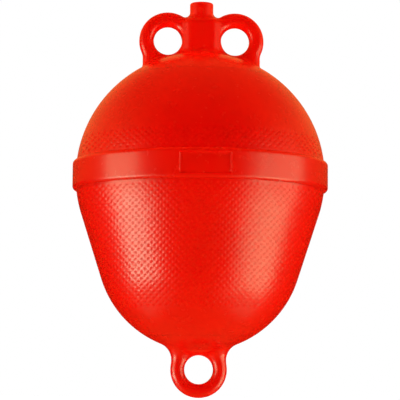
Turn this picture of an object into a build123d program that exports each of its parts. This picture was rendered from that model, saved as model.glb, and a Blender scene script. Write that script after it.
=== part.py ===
"""Rigid pear-shaped mooring buoy in moulded polyethylene, floating upright.

Millimetres. +Z is up and the origin is on the axis, at the middle of the equator band,
where the buoy floats. The eyes lie in the XZ plane, so a shackle pin runs along Y.
"""

from build123d import *
from math import asin, cos, hypot, sin, sqrt
import os

os.makedirs("parts", exist_ok=True)

# Body: an upper sphere on the origin, a lower sphere smaller by the taper, and the cone that
# touches both
DOME_RADIUS = 122.0
BASE_TAPER = 21.5
BASE_DROP = 70.0
WALL = 4.0

# Equator band, and how far it stands proud of the dome
BAND_HEIGHT = 28.6
BAND_STAND = 3.0
BAND_CORNER = 3.6

# Blank recessed panel on the front of the band
PANEL_ANGLE = 21.4
PANEL_HEIGHT = 18.5
PANEL_DEPTH = 2.0
PANEL_SLOPE = 45.0

# Top eyes, their flanks and the thick web between them. The eyes rise over the dome's top, and
# the saddle between them lies under the eyes' tops
EYE_HOLE = 28.0
EYE_RADIUS = 28.3
EYE_SPACING = 66.2
EYE_RISE = 12.8
EAR_THICKNESS = 16.0
EAR_EDGE = 6.5
FLANK_INSET = 3.6
FLANK_BLEND = 12.0
SADDLE_DIP = 5.8
SADDLE_BLEND = 8.0
WEB_THICKNESS = 28.0
WEB_WIDTH = 24.0
WEB_TAPER = 8.0
WEB_BLEND = 8.0
TOP_ROOT = 7.0

# Filler neck on the web, and the plug that closes it
NECK_DIAMETER = 23.0
NECK_RISE = 15.6
NECK_ROOT = 5.0
NECK_RIM = 1.8
PLUG_DIAMETER = 15.0
PLUG_LENGTH = 12.0
PLUG_SINK = 1.0
PLUG_EDGE = 0.8

# Bottom eye, its centre under the round bottom, on a waist a little narrower than the eye
BOTTOM_EYE_RADIUS = 27.4
BOTTOM_EYE_DROP = 17.7
BOTTOM_EYE_THICKNESS = 18.0
BOTTOM_EYE_EDGE = 6.4
BOTTOM_WAIST_INSET = 0.8
BOTTOM_WAIST_BLEND = 30.0
BOTTOM_ROOT = 16.5

# Dished caps that carry the eyes, how far they reach past the eyes' roots
CAP_MARGIN = 8.0

# Clearance of the plug, and how far a cutter runs past what it cuts
PLUG_CLEARANCE = 0.1
OVERRUN = 5.0
TOLERANCE = 0.01

# Worked out from the sizes above
inner_dome = DOME_RADIUS - WALL
base_radius = DOME_RADIUS - BASE_TAPER
inner_base = base_radius - WALL
band_half = BAND_HEIGHT / 2
land_radius = sqrt(DOME_RADIUS**2 - band_half**2)
band_radius = DOME_RADIUS + BAND_STAND
cone_angle = asin(BASE_TAPER / BASE_DROP)
eye_height = DOME_RADIUS + EYE_RISE
saddle_height = eye_height + EYE_RADIUS - SADDLE_DIP
neck_top = saddle_height + NECK_RISE
bottom_eye_height = -BASE_DROP - base_radius - BOTTOM_EYE_DROP
ear_half = EAR_THICKNESS / 2
web_half = WEB_THICKNESS / 2
web_side = WEB_WIDTH / 2
eye_side = EYE_SPACING / 2
flank_half = eye_side + EYE_RADIUS - FLANK_INSET
neck_radius = NECK_DIAMETER / 2
bottom_eye_half = BOTTOM_EYE_THICKNESS / 2
top_cap_radius = flank_half + TOP_ROOT + CAP_MARGIN
bottom_waist_half = BOTTOM_EYE_RADIUS - BOTTOM_WAIST_INSET
bottom_cap_radius = bottom_waist_half + BOTTOM_ROOT + CAP_MARGIN


def on_sphere(sphere, centre_height, radius, side):
    """Point of a sphere's profile at a distance from the axis, above (1) or below (-1) its centre."""
    return (radius, centre_height + side * sqrt(sphere**2 - radius**2))


def sphere_arc(sphere, centre_height, start_radius, end_radius, side):
    """Arc of a sphere's profile between two distances from the axis."""
    angle = (asin(start_radius / sphere) + asin(end_radius / sphere)) / 2
    middle = (sphere * sin(angle), centre_height + side * sphere * cos(angle))
    start = on_sphere(sphere, centre_height, start_radius, side)
    end = on_sphere(sphere, centre_height, end_radius, side)
    return ThreePointArc(start, middle, end)


def dished_profile(outer, centre_height, rim_radius, side):
    """Half section of a dished cap: a spherical shell from the axis out to its rim."""
    inner = outer - WALL
    sphere_arc(outer, centre_height, 0, rim_radius, side)
    sphere_arc(inner, centre_height, 0, rim_radius, side)
    Line(on_sphere(outer, centre_height, 0, side), on_sphere(inner, centre_height, 0, side))
    Line(on_sphere(outer, centre_height, rim_radius, side), on_sphere(inner, centre_height, rim_radius, side))


def radius_of(point):
    """Distance of a point from the buoy's axis."""
    return hypot(point.X, point.Y)


def rim_edges(part, low, high):
    """Edges along which the walls of an eye meet its front and back, between two heights."""
    walls = part.faces().filter_by(lambda face: abs(face.normal_at().Y) < TOLERANCE)
    edges = walls.edges().filter_by(lambda edge: abs((edge % 0.5).Y) < 1 - TOLERANCE)
    return edges.filter_by(lambda edge: low < (edge @ 0.5).Z < high)


def root_edges(part, outer, centre_height, rim_radius):
    """Edges along which an eye rises from its dished cap, inside the cap's rim."""
    centre = Vector(0, 0, centre_height)

    def on_cap(edge):
        lies_on = all(abs((edge @ place - centre).length - outer) < TOLERANCE for place in (0, 0.5, 1))
        return lies_on and radius_of(edge @ 0.5) < rim_radius - TOLERANCE

    return part.edges().filter_by(on_cap)


# Upper shell: a spherical zone from the cap's rim down to the cylindrical land under the band
with BuildPart() as upper_shell:
    with BuildSketch(Plane.XZ):
        with BuildLine():
            outer_arc = sphere_arc(DOME_RADIUS, 0, top_cap_radius, land_radius, 1)
            inner_arc = sphere_arc(inner_dome, 0, top_cap_radius, inner_dome, 1)
            Line(outer_arc @ 0, inner_arc @ 0)
            land = Line(outer_arc @ 1, (land_radius, 0))
            Line(land @ 1, inner_arc @ 1)
        make_face()
    revolve(axis=Axis.Z)

upper_shell.part.label = "upper_shell"
export_step(upper_shell.part, "parts/upper_shell.step")

# Lower shell: land, sphere, cone and round bottom, down to the bottom cap's rim
with BuildPart() as lower_shell:
    with BuildSketch(Plane.XZ):
        with BuildLine():
            upper_out = sphere_arc(DOME_RADIUS, 0, land_radius, DOME_RADIUS * cos(cone_angle), -1)
            lower_out = sphere_arc(
                base_radius, -BASE_DROP, base_radius * cos(cone_angle), bottom_cap_radius, -1
            )
            upper_in = sphere_arc(inner_dome, 0, inner_dome, inner_dome * cos(cone_angle), -1)
            lower_in = sphere_arc(
                inner_base, -BASE_DROP, inner_base * cos(cone_angle), bottom_cap_radius, -1
            )
            Line(upper_out @ 1, lower_out @ 0)
            Line(upper_in @ 1, lower_in @ 0)
            Line(lower_out @ 1, lower_in @ 1)
            land = Line(upper_out @ 0, (land_radius, 0))
            Line(land @ 1, upper_in @ 0)
        make_face()
    revolve(axis=Axis.Z)

lower_shell.part.label = "lower_shell"
export_step(lower_shell.part, "parts/lower_shell.step")

# Equator band: a ring with rounded corners on the land, with a shallow panel sunk in its front
with BuildPart() as equator_band:
    with BuildSketch(Plane.XZ) as band_section:
        with BuildLine():
            Polyline(
                (land_radius, -band_half),
                (band_radius, -band_half),
                (band_radius, band_half),
                (land_radius, band_half),
                close=True,
            )
        make_face()
        fillet(band_section.vertices().group_by(Axis.X)[-1], BAND_CORNER)
    revolve(axis=Axis.Z)
    with BuildSketch(Plane.XY.offset(-PANEL_HEIGHT / 2)):
        with BuildLine():
            start_angle = -90 - PANEL_ANGLE / 2
            end_angle = start_angle + PANEL_ANGLE
            panel_floor = CenterArc((0, 0), band_radius - PANEL_DEPTH, start_angle, PANEL_ANGLE)
            left_wall = PolarLine(panel_floor @ 0, PANEL_DEPTH + OVERRUN, start_angle - PANEL_SLOPE)
            right_wall = PolarLine(panel_floor @ 1, PANEL_DEPTH + OVERRUN, end_angle + PANEL_SLOPE)
            Line(left_wall @ 1, right_wall @ 1)
        make_face()
    extrude(amount=PANEL_HEIGHT, mode=Mode.SUBTRACT)

equator_band.part.label = "equator_band"
export_step(equator_band.part, "parts/equator_band.step")

# Top eyes, first as a blank: the front outline of both eyes, cut to its depth as seen from above
foot_height = on_sphere(DOME_RADIUS, 0, flank_half, 1)[1] - 2 * WALL
reach = eye_side + EYE_RADIUS + OVERRUN
with BuildPart() as top_eyes:
    with BuildSketch(Plane.XZ) as front_outline:
        with Locations((-eye_side, eye_height), (eye_side, eye_height)):
            Circle(EYE_RADIUS)
        with Locations((0, (foot_height + eye_height) / 2)):
            Rectangle(2 * flank_half, eye_height - foot_height)
        saddle_side = eye_side - sqrt(EYE_RADIUS**2 - (saddle_height - eye_height) ** 2)
        with Locations((0, (eye_height + saddle_height) / 2)):
            Rectangle(2 * saddle_side, saddle_height - eye_height)
        fillet(front_outline.vertices().group_by(Axis.Y)[1], FLANK_BLEND)
        fillet(front_outline.vertices().group_by(Axis.Y)[-1], SADDLE_BLEND)
    extrude(amount=web_half, both=True)
    with BuildSketch(Plane.XY.offset(foot_height)) as plan_outline:
        with BuildLine():
            Polyline(
                (-reach, 0),
                (-reach, ear_half),
                (-web_side - WEB_TAPER, ear_half),
                (-web_side, web_half),
                (web_side, web_half),
                (web_side + WEB_TAPER, ear_half),
                (reach, ear_half),
                (reach, 0),
                close=True,
            )
        make_face()
        mirror(about=Plane.XZ)
        fillet(plan_outline.vertices().filter_by(lambda vertex: abs(vertex.X) < eye_side), WEB_BLEND)
    extrude(amount=neck_top - foot_height, mode=Mode.INTERSECT)
    with BuildSketch(Plane.XZ):
        with Locations((-eye_side, eye_height), (eye_side, eye_height)):
            Circle(EYE_HOLE / 2)
    extrude(amount=web_half + OVERRUN, both=True, mode=Mode.SUBTRACT)
    fillet(rim_edges(top_eyes, foot_height + TOLERANCE, neck_top), EAR_EDGE)

# Top eye casting: the dished cap, the eyes on it and the filler neck on their web
with BuildPart() as top_eye_casting:
    with BuildSketch(Plane.XZ):
        with BuildLine():
            dished_profile(DOME_RADIUS, 0, top_cap_radius, 1)
        make_face()
    revolve(axis=Axis.Z)
    add(top_eyes.part - Sphere(inner_dome, mode=Mode.PRIVATE))
    with BuildSketch(Plane.XY.offset(eye_height)):
        Circle(neck_radius)
    extrude(amount=neck_top - eye_height)
    neck_foot = top_eye_casting.edges().filter_by(
        lambda edge: abs(radius_of(edge @ 0) - neck_radius) < TOLERANCE
        and abs(radius_of(edge @ 0.5) - neck_radius) < TOLERANCE
        and eye_height < (edge @ 0.5).Z < neck_top - NECK_RIM
        and abs((edge % 0.5).Z) < 1 - TOLERANCE
    )
    fillet(neck_foot, NECK_ROOT)
    fillet(top_eye_casting.edges().group_by(Axis.Z)[-1], NECK_RIM)
    fillet(root_edges(top_eye_casting, DOME_RADIUS, 0, top_cap_radius), TOP_ROOT)
    with BuildSketch(Plane.XY.offset(neck_top)):
        Circle(PLUG_DIAMETER / 2)
    extrude(amount=-PLUG_LENGTH - PLUG_SINK, mode=Mode.SUBTRACT)

top_eye_casting.part.label = "top_eye_casting"
export_step(top_eye_casting.part, "parts/top_eye_casting.step")

# Neck plug: pressed into the neck until its head lies just under the rim
with BuildPart() as neck_plug:
    with BuildSketch(Plane.XY.offset(neck_top - PLUG_SINK - PLUG_LENGTH)):
        Circle(PLUG_DIAMETER / 2 - PLUG_CLEARANCE)
    extrude(amount=PLUG_LENGTH)
    fillet(neck_plug.edges().group_by(Axis.Z)[-1], PLUG_EDGE)

neck_plug.part.label = "neck_plug"
export_step(neck_plug.part, "parts/neck_plug.step")

# Bottom eye casting: one eye that hangs from its dished cap on a wide flared root
bottom_foot_height = on_sphere(base_radius, -BASE_DROP, bottom_waist_half, -1)[1] + 2 * WALL
with BuildPart() as bottom_eye_casting:
    with BuildSketch(Plane.XZ) as bottom_outline:
        with Locations((0, bottom_eye_height)):
            Circle(BOTTOM_EYE_RADIUS)
        with Locations((0, (bottom_eye_height + bottom_foot_height) / 2)):
            Rectangle(2 * bottom_waist_half, bottom_foot_height - bottom_eye_height)
        fillet(bottom_outline.vertices().group_by(Axis.Y)[0], BOTTOM_WAIST_BLEND)
        with Locations((0, bottom_eye_height)):
            Circle(EYE_HOLE / 2, mode=Mode.SUBTRACT)
    extrude(amount=bottom_eye_half, both=True)
    bottom_rims = rim_edges(bottom_eye_casting, bottom_eye_height - reach, bottom_foot_height - TOLERANCE)
    fillet(bottom_rims, BOTTOM_EYE_EDGE)
    with Locations((0, 0, -BASE_DROP)):
        Sphere(inner_base, mode=Mode.SUBTRACT)
    with BuildSketch(Plane.XZ):
        with BuildLine():
            dished_profile(base_radius, -BASE_DROP, bottom_cap_radius, -1)
        make_face()
    revolve(axis=Axis.Z)
    fillet(root_edges(bottom_eye_casting, base_radius, -BASE_DROP, bottom_cap_radius), BOTTOM_ROOT)

bottom_eye_casting.part.label = "bottom_eye_casting"
export_step(bottom_eye_casting.part, "parts/bottom_eye_casting.step")
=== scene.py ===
"""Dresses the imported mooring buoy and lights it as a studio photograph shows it.

Metres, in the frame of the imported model: +Z is up, the origin is on the axis at the middle of
the equator band, and the blank panel faces -Y. The two shells get dimpled skins and the band
gets a finer one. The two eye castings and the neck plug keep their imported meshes. Every piece
gets a procedural finish of moulded polyethylene. Angles are in degrees where a field holds one.
"""

from __future__ import annotations

import logging
import math
from dataclasses import dataclass, field
from enum import Enum
from typing import Any

import bpy
import numpy as np
from mathutils import Matrix, Vector


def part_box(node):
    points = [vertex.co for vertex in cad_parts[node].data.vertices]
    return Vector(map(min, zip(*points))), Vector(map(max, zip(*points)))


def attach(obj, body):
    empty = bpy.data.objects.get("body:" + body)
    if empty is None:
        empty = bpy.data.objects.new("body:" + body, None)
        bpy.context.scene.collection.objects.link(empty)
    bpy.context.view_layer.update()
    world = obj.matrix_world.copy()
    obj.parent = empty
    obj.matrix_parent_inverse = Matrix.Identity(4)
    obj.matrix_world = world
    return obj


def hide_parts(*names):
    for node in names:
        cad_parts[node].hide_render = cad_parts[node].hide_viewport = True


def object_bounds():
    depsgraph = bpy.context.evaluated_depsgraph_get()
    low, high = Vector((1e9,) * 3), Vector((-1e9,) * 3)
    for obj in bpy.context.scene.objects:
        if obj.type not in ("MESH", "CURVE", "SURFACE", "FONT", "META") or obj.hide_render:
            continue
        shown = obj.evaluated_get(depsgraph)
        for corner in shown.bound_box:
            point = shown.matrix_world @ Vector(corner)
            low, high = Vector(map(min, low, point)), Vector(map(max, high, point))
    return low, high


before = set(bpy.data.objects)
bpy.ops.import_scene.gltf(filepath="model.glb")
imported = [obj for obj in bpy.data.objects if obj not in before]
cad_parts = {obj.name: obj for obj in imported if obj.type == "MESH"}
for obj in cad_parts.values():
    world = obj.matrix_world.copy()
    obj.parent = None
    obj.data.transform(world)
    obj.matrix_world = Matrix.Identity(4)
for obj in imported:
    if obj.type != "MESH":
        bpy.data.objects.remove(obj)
CAD_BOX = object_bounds()
BODY = "root"
MM = 0.001

# How far the lamps hang from the buoy
LAMP_DISTANCE = 1.2

# Point attribute of a skin: how deep a dimple is there, as a share of the depth of one in front
PIT_LAYER = "pit"

# Sockets of a Mix node that mixes colours, which share their names with its other sockets
MIX_FIRST, MIX_SECOND, MIX_RESULT = 6, 7, 2

log = logging.getLogger("mooring_buoy")

Settings = dict[str, Any]
Sockets = dict[str | int, Any]
Colour = tuple[float, float, float]
Span = tuple[float, float]


class Signal:
    """A number that varies over a surface; Python arithmetic on it adds Math nodes."""

    def __init__(self, bench: NodeBench, socket: bpy.types.NodeSocket) -> None:
        """Wraps one output socket of a node tree.

        Args:
            bench: The bench that owns the node tree.
            socket: The output socket that carries the number.
        """
        self.bench = bench
        self.socket = socket

    def _combine(self, operation: str, first: Signal | float, second: Signal | float) -> Signal:
        """Adds one Math node on two operands."""
        return self.bench.signal("ShaderNodeMath", {"operation": operation}, {0: first, 1: second})

    def __add__(self, other: Signal | float) -> Signal:
        """Sum."""
        return self._combine("ADD", self, other)

    __radd__ = __add__

    def __sub__(self, other: Signal | float) -> Signal:
        """Difference."""
        return self._combine("SUBTRACT", self, other)

    def __rsub__(self, other: Signal | float) -> Signal:
        """Difference with the signal on the right."""
        return self._combine("SUBTRACT", other, self)

    def __mul__(self, other: Signal | float) -> Signal:
        """Product."""
        return self._combine("MULTIPLY", self, other)

    __rmul__ = __mul__

    def between(self, low: float, high: float) -> Signal:
        """Smooth step that rises from 0 at low to 1 at high."""
        sockets = {"Value": self, "From Min": low, "From Max": high}
        return self.bench.signal("ShaderNodeMapRange", {"interpolation_type": "SMOOTHSTEP"}, sockets)


class NodeBench:
    """Builds the node tree of one material or of the world."""

    def __init__(self, tree: bpy.types.NodeTree) -> None:
        """Empties the tree.

        Args:
            tree: The node tree to build in.
        """
        self.tree = tree
        tree.nodes.clear()

    def node(self, kind: str, settings: Settings | None = None, sockets: Sockets | None = None) -> Any:
        """Adds a node, applies its settings and then fills its sockets.

        Args:
            kind: The node's type.
            settings: Attribute names and values.
            sockets: Input names or numbers, each with a value, a Signal or an output socket.

        Returns:
            The new node.
        """
        made = self.tree.nodes.new(kind)
        for name, value in (settings or {}).items():
            setattr(made, name, value)
        for key, value in (sockets or {}).items():
            if isinstance(value, Signal):
                value = value.socket
            if isinstance(value, bpy.types.NodeSocket):
                self.tree.links.new(value, made.inputs[key])
            else:
                made.inputs[key].default_value = value
        return made

    def signal(self, kind: str, settings: Settings | None = None, sockets: Sockets | None = None) -> Signal:
        """Adds a node and wraps its first output."""
        return Signal(self, self.node(kind, settings, sockets).outputs[0])

    def mix_shaders(self, share: Signal, first: Any, second: Any) -> bpy.types.NodeSocket:
        """Adds a Mix Shader node that goes from the first shader to the second, and returns its output."""
        return self.node("ShaderNodeMixShader", None, {0: share, 1: first, 2: second}).outputs[0]


@dataclass(frozen=True)
class MouldedPlastic:
    """Semi-gloss pigmented polyethylene with faint flow clouds, orange peel and rub marks.

    Light goes a little way into it. Where it is pitted, the floors of the dimples are duller.
    """

    name: str
    colour: Colour
    deepening: float = 0.95
    roughness: float = 0.24
    cloud_size: float = 45 * MM
    cloud_detail: float = 3.0
    cloud_edge: Span = (0.35, 0.7)
    cloud_gain: float = 0.05
    peel_size: float = 2.2 * MM
    peel_detail: float = 2.0
    peel_depth: float = 0.012 * MM
    rub_size: float = 9 * MM
    rub_detail: float = 6.0
    rub_edge: Span = (0.58, 0.72)
    rub_gain: float = 0.03
    ior: float = 1.5
    glow_depth: float = 2.0 * MM
    glow_shares: Colour = (1.0, 0.2, 0.1)
    gloss: float = 0.5
    pitted: bool = False
    pit_gloss: float = 0.27
    pit_roughness: float = 0.3
    pit_edge: Span = (0.05, 0.4)

    def build(self) -> bpy.types.Material:
        """Makes the material.

        Returns:
            The finished material.
        """
        material = bpy.data.materials.new(self.name)
        material.use_nodes = True
        bench = NodeBench(material.node_tree)
        place = bench.node("ShaderNodeTexCoord").outputs["Object"]
        clouds = self._noise(bench, place, self.cloud_size, self.cloud_detail)
        peel = self._noise(bench, place, self.peel_size, self.peel_detail)
        rubs = self._noise(bench, place, self.rub_size, self.rub_detail).between(*self.rub_edge)
        roughness = self.roughness + self.cloud_gain * clouds + self.rub_gain * rubs
        bump = bench.node("ShaderNodeBump", None, {"Distance": self.peel_depth, "Height": peel})
        looks = {"Base Color": self._tint(bench, clouds), "Normal": bump.outputs[0]}
        surface = self._plastic(bench, {**looks, "Roughness": roughness, "Specular IOR Level": self.gloss})
        if self.pitted:
            layer = bench.node("ShaderNodeAttribute", {"attribute_name": PIT_LAYER}).outputs["Fac"]
            pits = Signal(bench, layer).between(*self.pit_edge)
            dull = {**looks, "Roughness": self.pit_roughness, "Specular IOR Level": self.pit_gloss}
            surface = bench.mix_shaders(pits, surface, self._plastic(bench, dull))
        bench.node("ShaderNodeOutputMaterial", None, {"Surface": surface})
        return material

    def _tint(self, bench: NodeBench, clouds: Signal) -> bpy.types.NodeSocket:
        """Adds the colour, which deepens in the flow clouds.

        Args:
            bench: The material's bench.
            clouds: The flow clouds.

        Returns:
            The colour's socket.
        """
        deep = [channel * self.deepening for channel in self.colour]
        sockets = {
            "Factor": clouds.between(*self.cloud_edge),
            MIX_FIRST: (*self.colour, 1),
            MIX_SECOND: (*deep, 1),
        }
        return bench.node("ShaderNodeMix", {"data_type": "RGBA"}, sockets).outputs[MIX_RESULT]

    def _plastic(self, bench: NodeBench, looks: Sockets) -> bpy.types.NodeSocket:
        """Adds one translucent plastic shader.

        Args:
            bench: The material's bench.
            looks: The sockets in which the skin and the dimples' floors differ or vary.

        Returns:
            The shader's output.
        """
        body = {
            "IOR": self.ior,
            "Subsurface Weight": 1.0,
            "Subsurface Radius": self.glow_shares,
            "Subsurface Scale": self.glow_depth,
        }
        return bench.node("ShaderNodeBsdfPrincipled", None, {**looks, **body}).outputs[0]

    @staticmethod
    def _noise(bench: NodeBench, place: bpy.types.NodeSocket, size: float, detail: float) -> Signal:
        """Noise with features of a given size in metres."""
        sockets = {"Vector": place, "Scale": 1 / size, "Detail": detail}
        return bench.signal("ShaderNodeTexNoise", None, sockets)


@dataclass(frozen=True)
class StudioWhite:
    """White floor that takes the object's shadow and is lifted for the rays that look at it."""

    name: str = "studio_white"
    albedo: float = 0.9
    lift: float = 0.6
    glow: float = 1.3

    def build(self) -> bpy.types.Material:
        """Makes the material.

        Returns:
            The finished material.
        """
        material = bpy.data.materials.new(self.name)
        material.use_nodes = True
        bench = NodeBench(material.node_tree)
        camera, glossy, through = seen_rays(bench)
        matt = bench.node("ShaderNodeBsdfDiffuse", None, {"Color": (self.albedo,) * 3 + (1,)}).outputs[0]
        glow = bench.node("ShaderNodeEmission", None, {"Strength": self.glow}).outputs[0]
        lifted = bench.mix_shaders(self.lift * (camera + glossy + through), matt, glow)
        bench.node("ShaderNodeOutputMaterial", None, {"Surface": lifted})
        return material


def seen_rays(bench: NodeBench) -> tuple[Signal, Signal, Signal]:
    """Signals that are one for camera, glossy and transmission rays, and zero for the others.

    Args:
        bench: The bench of the material or of the world.

    Returns:
        The three signals.
    """
    path = bench.node("ShaderNodeLightPath")
    names = ("Is Camera Ray", "Is Glossy Ray", "Is Transmission Ray")
    return tuple(Signal(bench, path.outputs[name]) for name in names)


class Half(Enum):
    """Side of the buoy on which a skin lies: its sign along Y."""

    FRONT = -1
    BACK = 1


@dataclass(frozen=True)
class HullProfile:
    """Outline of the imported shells: an upper sphere, a lower sphere and the cone that touches both."""

    dome_radius: float = 122.0 * MM
    base_radius: float = 100.5 * MM
    base_drop: float = 70.0 * MM

    @property
    def cone_angle(self) -> float:
        """Angle of the cone's wall to the axis."""
        return math.asin((self.dome_radius - self.base_radius) / self.base_drop)

    def radius_and_tilt(self, height: np.ndarray) -> tuple[np.ndarray, np.ndarray]:
        """Radius of the outline and how far its normal tilts up, at each height.

        Args:
            height: Heights over the middle of the band.

        Returns:
            The radii, and the normals' angles over the horizon in radians.
        """
        angle = self.cone_angle
        cone_top = -self.dome_radius * math.sin(angle)
        cone_bottom = -self.base_drop - self.base_radius * math.sin(angle)
        on_dome = np.sqrt(np.maximum(self.dome_radius**2 - height**2, 0))
        on_base = np.sqrt(np.maximum(self.base_radius**2 - (height + self.base_drop) ** 2, 0))
        on_cone = self.dome_radius * math.cos(angle) + (height - cone_top) * math.tan(angle)
        radius = np.where(height > cone_top, on_dome, np.where(height > cone_bottom, on_cone, on_base))
        dome_tilt = np.arctan2(height, on_dome)
        base_tilt = np.arctan2(height + self.base_drop, on_base)
        tilt = np.where(height > cone_top, dome_tilt, np.where(height > cone_bottom, -angle, base_tilt))
        return radius, tilt


@dataclass(frozen=True)
class DimplePattern:
    """Staggered round dimples, pressed in from the front and from the back.

    Seen along Y they are round. Their steep reach and their fade are shares of the hull's radius.
    """

    pitch: float = 6.0 * MM
    radius: float = 2.0 * MM
    depth: float = 0.22 * MM
    low: float = -132.0 * MM
    high: float = 35.0 * MM
    clear: float = 2.0 * MM
    steep_reach: float = math.sin(math.radians(48))
    fade_start: float = math.sin(math.radians(70))
    fade_end: float = math.sin(math.radians(80))
    centre_guard: float = 1e-6 * MM

    def sink(
        self, x: np.ndarray, z: np.ndarray, hull: HullProfile, band_half: float
    ) -> tuple[np.ndarray, np.ndarray, np.ndarray]:
        """Depth of the dimples at points of the skin, and its slopes.

        Args:
            x: Distances across.
            z: Heights.
            hull: Outline that the dimples lie on.
            band_half: Half the height of the band, near which no dimple starts.

        Returns:
            The depth, and its rate of change along X and along Z.
        """
        depth = np.zeros_like(x)
        slope_x = np.zeros_like(x)
        slope_z = np.zeros_like(x)
        for shift in (0.0, self.pitch / 2):
            centre_x = np.round((x - shift) / self.pitch) * self.pitch + shift
            centre_z = np.round((z - shift) / self.pitch) * self.pitch + shift
            away_x, away_z = x - centre_x, z - centre_z
            away = np.hypot(away_x, away_z) + self.centre_guard
            inside = away < self.radius
            gain = inside * self._strength(centre_x, centre_z, hull, band_half) * self.depth
            turn = math.pi * np.minimum(away / self.radius, 1)
            depth += gain * (0.5 + 0.5 * np.cos(turn))
            rate = -gain * 0.5 * np.sin(turn) * math.pi / self.radius
            slope_x += rate * away_x / away
            slope_z += rate * away_z / away
        return depth, slope_x, slope_z

    def _strength(self, x: np.ndarray, z: np.ndarray, hull: HullProfile, band_half: float) -> np.ndarray:
        """Share of the full depth that each dimple has.

        It grows towards the sides as far as the steep reach, so that the dimples' walls stay as
        steep as in front. Farther out it fades.

        Args:
            x: Distances across of the dimples' centres.
            z: Heights of the dimples' centres.
            hull: Outline that the dimples lie on.
            band_half: Half the height of the band.

        Returns:
            The shares, which are 0 outside the belts.
        """
        radius, _ = hull.radius_and_tilt(z)
        share = np.abs(x) / np.maximum(radius, self.radius)
        deeper = 1 / np.sqrt(1 - np.minimum(share, self.steep_reach) ** 2)
        fade = np.clip((self.fade_end - share) / (self.fade_end - self.fade_start), 0, 1)
        in_belts = (z > self.low) & (z < self.high) & (np.abs(z) > band_half + self.clear)
        return deeper * fade * in_belts


@dataclass
class ShellSkin:
    """Outer skin of one shell over one half of the buoy, with its dimples in the mesh."""

    name: str
    node: str
    half: Half
    top: float
    bottom: float
    hull: HullProfile = field(default_factory=HullProfile)
    dimples: DimplePattern = field(default_factory=DimplePattern)
    fine_step: float = 0.75 * MM
    coarse_step: float = 4.0 * MM
    flat_reach: float = 66.0 * MM
    side_steps: int = 140
    tuck: float = 1.5 * MM

    def _heights(self) -> np.ndarray:
        """Heights of the mesh's rows, fine in the dimpled belt.

        Returns:
            The heights from bottom to top.
        """
        first = math.ceil(max(self.bottom, self.dimples.low) / self.fine_step)
        last = math.floor(min(self.top, self.dimples.high) / self.fine_step)
        fine = np.arange(first, last + 1) * self.fine_step
        steps_below = math.ceil((fine[0] - self.bottom) / self.coarse_step)
        steps_above = math.ceil((self.top - fine[-1]) / self.coarse_step)
        below = np.linspace(self.bottom, fine[0], 1 + steps_below)[:-1]
        above = np.linspace(fine[-1], self.top, 1 + steps_above)[1:]
        return np.concatenate([below, fine, above])

    def _angles(self, radius: np.ndarray) -> np.ndarray:
        """Angle of each column in each row: straight columns in front, even angles at the sides.

        Args:
            radius: Radius by which each row's columns are spread.

        Returns:
            The angles from the middle of the half, as rows by columns.
        """
        steps = round(self.flat_reach / self.fine_step)
        across = np.arange(-steps, steps + 1) * self.fine_step
        middle = np.arcsin(across[None, :] / radius[:, None])
        edge = middle[:, -1:]
        share = np.arange(1, self.side_steps + 1) / self.side_steps
        side = edge + (math.pi / 2 - edge) * share[None, :]
        return np.concatenate([-side[:, ::-1], middle, side], axis=1)

    def _plain(self) -> tuple[np.ndarray, np.ndarray]:
        """Points and normals of the skin before the dimples are pressed in.

        Returns:
            The points and the unit normals, each as rows by columns by three.
        """
        heights = self._heights()
        radius, tilt = self.hull.radius_and_tilt(heights)
        belt = (heights >= self.dimples.low) & (heights <= self.dimples.high)
        angles = self._angles(np.maximum(radius, radius[belt].min()))
        out_x, out_y = np.sin(angles), self.half.value * np.cos(angles)
        height = np.broadcast_to(heights[:, None], angles.shape)
        rise = np.broadcast_to(np.sin(tilt)[:, None], angles.shape)
        level = np.cos(tilt)[:, None]
        point = np.stack([radius[:, None] * out_x, radius[:, None] * out_y, height], axis=-1)
        return point, np.stack([out_x * level, out_y * level, rise], axis=-1)

    @staticmethod
    def _leaning(normal: np.ndarray, slope_x: np.ndarray, slope_z: np.ndarray) -> np.ndarray:
        """Normals as the dimples' walls lean them.

        Args:
            normal: Unit normals of the plain skin.
            slope_x: Slope of the dimples along X.
            slope_z: Slope of the dimples along Z.

        Returns:
            The leaning unit normals.
        """
        slope = np.stack([slope_x, np.zeros_like(slope_x), slope_z], axis=-1)
        along = np.sum(slope * normal, axis=-1, keepdims=True)
        leaning = normal + slope - along * normal
        return leaning / np.linalg.norm(leaning, axis=-1, keepdims=True)

    def build(self, band_half: float, material: bpy.types.Material) -> bpy.types.Object:
        """Makes the skin, which stands for the shell's node.

        Args:
            band_half: Half the height of the band that covers the shells' joint.
            material: The skin's finish.

        Returns:
            The finished object.
        """
        point, normal = self._plain()
        depth, slope_x, slope_z = self.dimples.sink(point[..., 0], point[..., 2], self.hull, band_half)
        low_rim, high_rim = (point[row] - self.tuck * normal[row] for row in (0, -1))
        point = np.concatenate([low_rim[None], point - depth[..., None] * normal, high_rim[None]])
        shading = np.concatenate([normal[:1], self._leaning(normal, slope_x, slope_z), normal[-1:]])
        pits = np.pad(depth / self.dimples.depth, ((1, 1), (0, 0)))
        skin = grid_object(self.name, point, flip=self.half is Half.BACK)
        skin.data.normals_split_custom_set_from_vertices(shading.reshape(-1, 3))
        layer = skin.data.attributes.new(PIT_LAYER, "FLOAT", "POINT")
        layer.data.foreach_set("value", pits.reshape(-1).astype(np.float32))
        stand_in(skin, self.node, material)
        return skin


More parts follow.
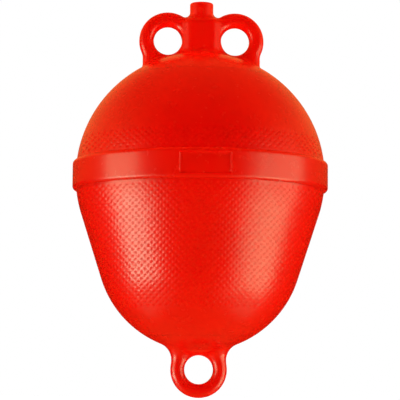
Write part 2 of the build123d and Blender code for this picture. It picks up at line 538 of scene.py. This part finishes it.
def grid_object(name: str, point: np.ndarray, flip: bool = False) -> bpy.types.Object:
    """Makes a smooth mesh from a grid of points.

    Args:
        name: The new object's name.
        point: Points, as rows by columns by three.
        flip: Whether the faces are turned over.

    Returns:
        The new object, linked to the scene.
    """
    rows, columns = point.shape[:2]
    index = np.arange(rows * columns).reshape(rows, columns)
    corners = [index[:-1, :-1], index[:-1, 1:], index[1:, 1:], index[1:, :-1]]
    if flip:
        corners.reverse()
    faces = np.stack(corners, axis=-1).reshape(-1, 4)
    mesh = bpy.data.meshes.new(name)
    mesh.vertices.add(rows * columns)
    mesh.vertices.foreach_set("co", point.reshape(-1).astype(np.float32))
    mesh.loops.add(faces.size)
    mesh.loops.foreach_set("vertex_index", faces.reshape(-1).astype(np.int32))
    mesh.polygons.add(len(faces))
    mesh.polygons.foreach_set("loop_start", np.arange(0, faces.size, 4, dtype=np.int32))
    mesh.update(calc_edges=True)
    mesh.validate()
    mesh.shade_smooth()
    made = bpy.data.objects.new(name, mesh)
    bpy.context.scene.collection.objects.link(made)
    return made


def stand_in(skin: bpy.types.Object, node: str, material: bpy.types.Material) -> None:
    """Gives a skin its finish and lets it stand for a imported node.

    Args:
        skin: The skin.
        node: Name of the node that it replaces.
        material: The skin's finish.
    """
    skin.data.materials.append(material)
    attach(skin, BODY)
    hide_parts(node)
    log.info("%s: %d faces", skin.name, len(skin.data.polygons))


@dataclass
class Hull:
    """The two shells, as front and back skins that end at the band and at the castings' rims."""

    # The upper shell's colour is darker than the lower shell's. This is painted shade: the dome faces up,
    # away from most of the light.
    upper: MouldedPlastic = MouldedPlastic("upper_shell_shaded_plastic", (0.78, 0.0020, 0.0003), pitted=True)
    lower: MouldedPlastic = MouldedPlastic("lower_shell_plastic", (0.86, 0.0048, 0.0005), pitted=True)

    def build(self) -> list[bpy.types.Object]:
        """Makes the four skins.

        Returns:
            The skins, the upper one of each half first.
        """
        shaded_upper_material, lower_material = self.upper.build(), self.lower.build()
        band_low, band_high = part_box("equator_band")
        band_half = (band_high.z - band_low.z) / 2
        upper_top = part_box("upper_shell")[1].z
        lower_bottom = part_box("lower_shell")[0].z
        skins = []
        for half in Half:
            side = half.name.lower()
            upper = ShellSkin(f"upper_skin_{side}", "upper_shell", half, upper_top, band_half)
            lower = ShellSkin(f"lower_skin_{side}", "lower_shell", half, -band_half, lower_bottom)
            skins.append(upper.build(band_half, shaded_upper_material))
            skins.append(lower.build(band_half, lower_material))
        return skins


@dataclass(frozen=True)
class BlankPanel:
    """Shallow blank recess in the front of the band."""

    angle: float = 21.4
    height: float = 18.5 * MM
    depth: float = 2.0 * MM
    side_run: float = 1.3 * MM
    end_run: float = 0.8 * MM

    def sink(self, angles: np.ndarray, heights: np.ndarray, radius: float) -> np.ndarray:
        """Depth of the recess by height and angle.

        Args:
            angles: Angles from the front in radians.
            heights: Heights over the middle of the band.
            radius: Radius of the band.

        Returns:
            The depth, as heights by angles.
        """
        side = self._ease((math.radians(self.angle / 2) - np.abs(angles)) * radius, self.side_run)
        end = self._ease(self.height / 2 - np.abs(heights), self.end_run)
        return self.depth * side[None, :] * end[:, None]

    @staticmethod
    def _ease(inside: np.ndarray, run: float) -> np.ndarray:
        """Smooth rise from 0 at a run outside the floor's edge to 1 at the edge."""
        share = np.clip(1 + inside / run, 0, 1)
        return share * share * (3 - 2 * share)


@dataclass
class EquatorBand:
    """Outer skin of the band, with rounded corners and the blank panel."""

    finish: MouldedPlastic = MouldedPlastic("band_plastic", (0.82, 0.0040, 0.0004), glow_depth=0.4 * MM)
    panel: BlankPanel = BlankPanel()
    corner: float = 3.6 * MM
    root: float = 4.5 * MM
    corner_steps: int = 10
    turn_steps: int = 360
    wall_steps: int = 8

    def _rows(self, outer: float, half: float) -> tuple[np.ndarray, np.ndarray]:
        """Section of the band, from the lower face round the front to the upper face.

        Args:
            outer: Radius of the band.
            half: Half the height of the band.

        Returns:
            The radius and the height of each row.
        """
        turn = np.linspace(0, math.pi / 2, self.corner_steps + 1)
        edge = self.panel.height / 2
        wall = np.linspace(edge, edge + self.panel.end_run, self.wall_steps + 1)
        floor = np.linspace(-edge, edge, self.wall_steps)[1:-1]
        front = np.concatenate([-wall[::-1], floor, wall])
        corner_radius = outer - self.corner + self.corner * np.sin(turn)
        corner_height = half - self.corner + self.corner * np.cos(turn)
        lower_radius = np.concatenate([[outer - self.root], corner_radius])
        lower_height = np.concatenate([[-half], -corner_height])
        radius = np.concatenate([lower_radius, np.full_like(front, outer), lower_radius[::-1]])
        return radius, np.concatenate([lower_height, front, -lower_height[::-1]])

    def _angles(self, outer: float) -> np.ndarray:
        """Columns around the band, close together at the panel's side walls.

        Args:
            outer: Radius of the band.

        Returns:
            The angle of each column from the front.
        """
        edge = math.radians(self.panel.angle / 2)
        wall = np.linspace(edge, edge + self.panel.side_run / outer, self.wall_steps + 1)
        around = np.linspace(-math.pi, math.pi, self.turn_steps + 1)
        away = np.abs(around)
        around = around[(away < wall[0]) | (away > wall[-1])]
        return np.sort(np.concatenate([around, wall, -wall]))

    def build(self) -> bpy.types.Object:
        """Makes the skin, which stands for the band's node.

        Returns:
            The finished object.
        """
        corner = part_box("equator_band")[1]
        outer, half = corner.x, corner.z
        radius, height = self._rows(outer, half)
        angles = self._angles(outer)
        reach = radius[:, None] - self.panel.sink(angles, height, outer)
        across, ahead = reach * np.sin(angles), -reach * np.cos(angles)
        point = np.stack([across, ahead, np.broadcast_to(height[:, None], reach.shape)], axis=-1)
        skin = grid_object("band_skin", point)
        stand_in(skin, "equator_band", self.finish.build())
        return skin


@dataclass
class PackedPieces:
    """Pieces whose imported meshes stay: the two eye castings and the neck plug."""

    eyes: MouldedPlastic = MouldedPlastic("eye_plastic", (0.86, 0.0045, 0.0005), glow_depth=0.8 * MM)
    plug: MouldedPlastic = MouldedPlastic("plug_plastic", (0.80, 0.0040, 0.0004), roughness=0.5)

    def dress(self) -> None:
        """Gives each piece its finish."""
        eye_material = self.eyes.build()
        finishes = {
            "top_eye_casting": eye_material,
            "bottom_eye_casting": eye_material,
            "neck_plug": self.plug.build(),
        }
        for name, material in finishes.items():
            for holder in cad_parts[name].material_slots:
                holder.material = material
            log.info("%s: %s", name, material.name)


@dataclass(frozen=True)
class Softbox:
    """Rectangular lamp that faces the object and shows as a highlight on it.

    Its width and height are angles as seen from the object. The tint has less red than green,
    because the plastic's red is near white level before a highlight adds to it.
    """

    name: str
    azimuth: float
    elevation: float
    wide: float
    tall: float
    radiance: float
    distance: float = LAMP_DISTANCE
    tint: Colour = (0.5, 1.0, 0.6)

    def build(self, target: Vector) -> bpy.types.Object:
        """Hangs the lamp.

        Args:
            target: Point that the lamp faces.

        Returns:
            The lamp object.
        """
        lamp = bpy.data.lights.new(self.name, "AREA")
        lamp.shape = "RECTANGLE"
        lamp.color = self.tint
        lamp.size, lamp.size_y = self._reach(self.wide), self._reach(self.tall)
        lamp.energy = self.radiance * lamp.size * lamp.size_y * math.pi
        made = hang_lamp(lamp, target, direction(self.azimuth, self.elevation), self.distance)
        made.visible_diffuse = False
        return made

    def _reach(self, angle: float) -> float:
        """Length at the lamp's distance that fills an angle."""
        return 2 * self.distance * math.tan(math.radians(angle / 2))


@dataclass(frozen=True)
class BounceFill:
    """Broad even light from the studio's walls, which brings out the colour without a highlight.

    Where it casts no shadow, it also stands for light that the floor throws up past the buoy.
    """

    name: str
    azimuth: float
    elevation: float
    strength: float
    shadow: bool = True
    spread: float = 60.0
    distance: float = LAMP_DISTANCE

    def build(self, target: Vector) -> bpy.types.Object:
        """Hangs the light.

        Args:
            target: Point that the light faces.

        Returns:
            The lamp object.
        """
        lamp = bpy.data.lights.new(self.name, "SUN")
        lamp.energy = self.strength
        lamp.angle = math.radians(self.spread)
        lamp.use_shadow = self.shadow
        lamp.cycles.use_multiple_importance_sampling = False
        made = hang_lamp(lamp, target, direction(self.azimuth, self.elevation), self.distance)
        made.visible_glossy = False
        return made


def hang_lamp(lamp: bpy.types.Light, target: Vector, toward: Vector, distance: float) -> bpy.types.Object:
    """Places a lamp on a line from its target and turns it to face it.

    Args:
        lamp: The lamp's data.
        target: Point that the lamp faces.
        toward: Unit vector from the target to the lamp.
        distance: How far the lamp hangs from its target.

    Returns:
        The lamp object, which the camera doesn't see.
    """
    made = bpy.data.objects.new(lamp.name, lamp)
    made.location = target + toward * distance
    made.rotation_mode = "QUATERNION"
    made.rotation_quaternion = (-toward).to_track_quat("-Z", "Y")
    made.visible_camera = False
    bpy.context.scene.collection.objects.link(made)
    return made


def direction(azimuth: float, elevation: float) -> Vector:
    """Unit vector from the object towards an azimuth and elevation in degrees; azimuth 0 is -Y."""
    turn, lift = math.radians(azimuth), math.radians(elevation)
    return Vector((math.sin(turn) * math.cos(lift), -math.cos(turn) * math.cos(lift), math.sin(lift)))


@dataclass
class Studio:
    """White surroundings, a white floor under the lowest eye, and low softboxes at the sides.

    Gloss mirrors dim warm walls and a dim ground in place of the white. The walls are brightest
    behind the buoy. Their edges are places along Y and Z on a surrounding sphere of radius 1.
    """

    wall_front: float = 0.04
    wall_rear: float = 0.80
    wall_colour: Colour = (1.0, 0.38, 0.1)
    rear_side: Span = (-0.7, 0.1)
    rear_foot: Span = (0.05, 0.25)
    rear_head: Span = (0.35, 0.85)
    rear_fade: float = 0.7
    ground: float = 0.3
    ground_rim: Span = (-0.35, -0.9)
    floor_gap: float = 0.3 * MM
    floor_size: float = 30.0
    # Softboxes: azimuth, elevation, width, height, radiance. Fills: azimuth, elevation, strength
    lamps: tuple[Softbox | BounceFill, ...] = (
        Softbox("left_low_box", -72.2, -22.5, 34.0, 21.0, 8.1, tint=(0.5, 1.0, 0.7)),
        Softbox("left_high_box", -73.5, -1.5, 35.0, 22.0, 3.8),
        Softbox("left_top_feather", -74.0, 18.0, 36.0, 16.0, 0.16),
        Softbox("left_feather", -49.0, -16.0, 12.0, 38.0, 0.85),
        Softbox("left_under", -85.0, -45.0, 40.0, 26.0, 0.45),
        Softbox("right_low_box", 73.0, -27.0, 34.0, 27.0, 4.95, tint=(0.5, 1.0, 0.56)),
        Softbox("right_high_box", 73.0, -1.0, 46.0, 24.0, 2.4),
        Softbox("right_top_feather", 74.0, 20.0, 46.0, 17.0, 0.2),
        Softbox("right_feather", 48.0, -18.5, 16.0, 49.0, 1.95),
        Softbox("right_under", 73.0, -49.0, 48.0, 26.0, 0.5),
        BounceFill("front_fill", 0.0, -35.0, 0.92),
        BounceFill("front_level_fill", 0.0, -15.0, 0.22),
        BounceFill("front_low_fill", 0.0, -65.0, 1.72, shadow=False),
        BounceFill("back_fill", 180.0, -35.0, 2.1),
        BounceFill("left_fill", -80.0, 12.0, 1.9),
        BounceFill("right_fill", 80.0, 12.0, 2.2),
        BounceFill("left_high_fill", -80.0, 55.0, 1.45),
        BounceFill("right_high_fill", 80.0, 55.0, 1.15),
    )

    def build(self) -> None:
        """Makes the floor, the world and the lamps."""
        low, high = CAD_BOX
        bpy.ops.mesh.primitive_plane_add(size=self.floor_size, location=(0, 0, low.z - self.floor_gap))
        floor = bpy.context.object
        floor.name = "floor"
        floor.data.materials.append(StudioWhite().build())
        floor.visible_glossy = False
        floor.visible_diffuse = False
        floor.visible_shadow = False
        self._light_world()
        for lamp in self.lamps:
            lamp.build(Vector((0, 0, (low.z + high.z) / 2)))
        bpy.context.scene.view_settings.view_transform = "Standard"
        log.info("studio: %d lamps over a floor at %.4f m", len(self.lamps), floor.location.z)

    def _light_world(self) -> None:
        """Makes the world: white where it is seen, and the studio's dim walls where gloss mirrors it."""
        world = bpy.data.worlds.new("studio")
        bpy.context.scene.world = world
        world.use_nodes = True
        bench = NodeBench(world.node_tree)
        camera, glossy, through = seen_rays(bench)
        way = bench.node("ShaderNodeTexCoord").outputs["Generated"]
        split = bench.node("ShaderNodeSeparateXYZ", None, {"Vector": way})
        behind, upward = Signal(bench, split.outputs["Y"]), Signal(bench, split.outputs["Z"])
        height = upward.between(*self.rear_foot) - self.rear_fade * upward.between(*self.rear_head)
        wall = self.wall_front + self.wall_rear * behind.between(*self.rear_side) * height
        mirrored = glossy * (wall + self.ground * upward.between(*self.ground_rim))
        white = self._background(bench, (1.0, 1.0, 1.0), camera + through)
        walls = self._background(bench, self.wall_colour, mirrored)
        both = bench.node("ShaderNodeAddShader", None, {0: white, 1: walls}).outputs[0]
        bench.node("ShaderNodeOutputWorld", None, {"Surface": both})

    @staticmethod
    def _background(bench: NodeBench, colour: Colour, strength: Signal) -> bpy.types.NodeSocket:
        """Adds one background of a colour and a strength, and returns its output."""
        sockets = {"Color": (*colour, 1), "Strength": strength}
        return bench.node("ShaderNodeBackground", None, sockets).outputs[0]


@dataclass(frozen=True)
class Camera:
    """Camera just over the floor, which looks slightly up at the buoy from a little to its left."""

    distance: float = 1.9
    azimuth: float = -2.3
    elevation: float = -5.8
    roll: float = 0.5
    aim_height: float = -22.5 * MM
    lens: float = 174.5

    def build(self) -> bpy.types.Object:
        """Sets the scene's camera.

        Returns:
            The camera object.
        """
        data = bpy.data.cameras.new("camera")
        data.lens = self.lens
        made = bpy.data.objects.new("camera", data)
        bpy.context.scene.collection.objects.link(made)
        back = direction(self.azimuth, self.elevation)
        made.location = Vector((0, 0, self.aim_height)) + back * self.distance
        look = (-back).to_track_quat("-Z", "Y").to_matrix()
        made.rotation_mode = "QUATERNION"
        made.rotation_quaternion = (look @ Matrix.Rotation(math.radians(self.roll), 3, "Z")).to_quaternion()
        bpy.context.scene.camera = made
        log.info("camera: %.4f m above the band's middle", made.location.z)
        return made


def main() -> None:
    """Builds the camera, the studio and the dressed buoy."""
    logging.basicConfig(level=logging.INFO, format="%(name)s: %(message)s")
    Camera().build()
    Studio().build()
    Hull().build()
    EquatorBand().build()
    PackedPieces().dress()


if __name__ == "__main__":
    main()
